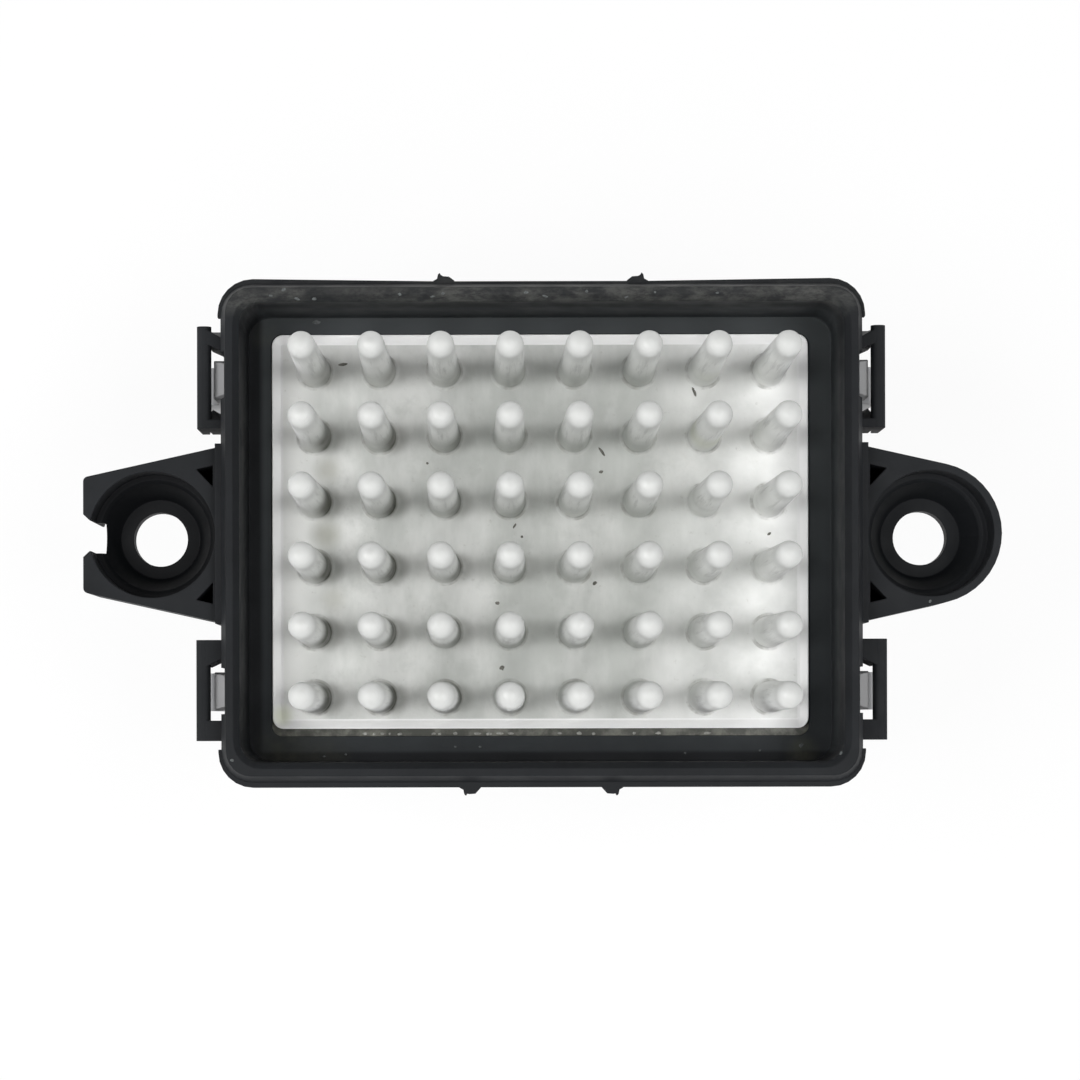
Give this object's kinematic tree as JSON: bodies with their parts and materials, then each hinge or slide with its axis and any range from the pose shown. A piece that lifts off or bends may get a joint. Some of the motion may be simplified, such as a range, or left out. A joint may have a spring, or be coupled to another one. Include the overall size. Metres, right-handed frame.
{
  "type": "blower motor resistor",
  "caption": "Blower speed regulator with a pin-fin cooling plate set in a black moulded frame with screw ears, a clipped rear cover and plug sockets behind.",
  "frame": {"origin": "centre of the object's box in X and Y, at the ends of the connector shrouds on which it lies", "axes": "+Z from the connectors to the tips of the cooling pins, +X from the slotted ear to the round ear, +Y to the picture's upper edge"},
  "size_m": [0.1077, 0.0609, 0.0565],
  "materials": {
    "frame_plastic": "satin",
    "cover_plastic": "satin",
    "cast_aluminium": "raw casting",
    "silicone": "matte",
    "board": "gloss",
    "steel": "satin",
    "package": "matte",
    "pad": "matte",
    "sleeve": "gloss",
    "ferrite": "matte",
    "copper": "gloss",
    "alloy": "satin",
    "chip_ceramic": "matte",
    "tinned_brass": "satin"
  },
  "bodies": {
    "root": {"frame": "frame_plastic", "heat_sink": "cast_aluminium", "sealant_bead": "silicone", "rear_cover": "cover_plastic", "circuit_board": "board", "board_screws": "steel", "power_transistor_left": "package", "power_transistor_right": "package", "thermal_pad_left": "pad", "thermal_pad_right": "pad", "transistor_clip": "steel", "clip_screw": "steel", "shunt_resistor": "alloy", "supply_capacitor": "sleeve", "motor_capacitor": "sleeve", "choke_core": "ferrite", "choke_winding": "copper", "control_chip": "package", "suppressor_diode": "package", "chip_capacitors": "chip_ceramic", "chip_resistors": "package", "motor_blade_positive": "tinned_brass", "motor_blade_negative": "tinned_brass", "supply_blade": "tinned_brass", "ground_blade": "tinned_brass", "signal_blade": "tinned_brass"}
  },
  "joints": []
}
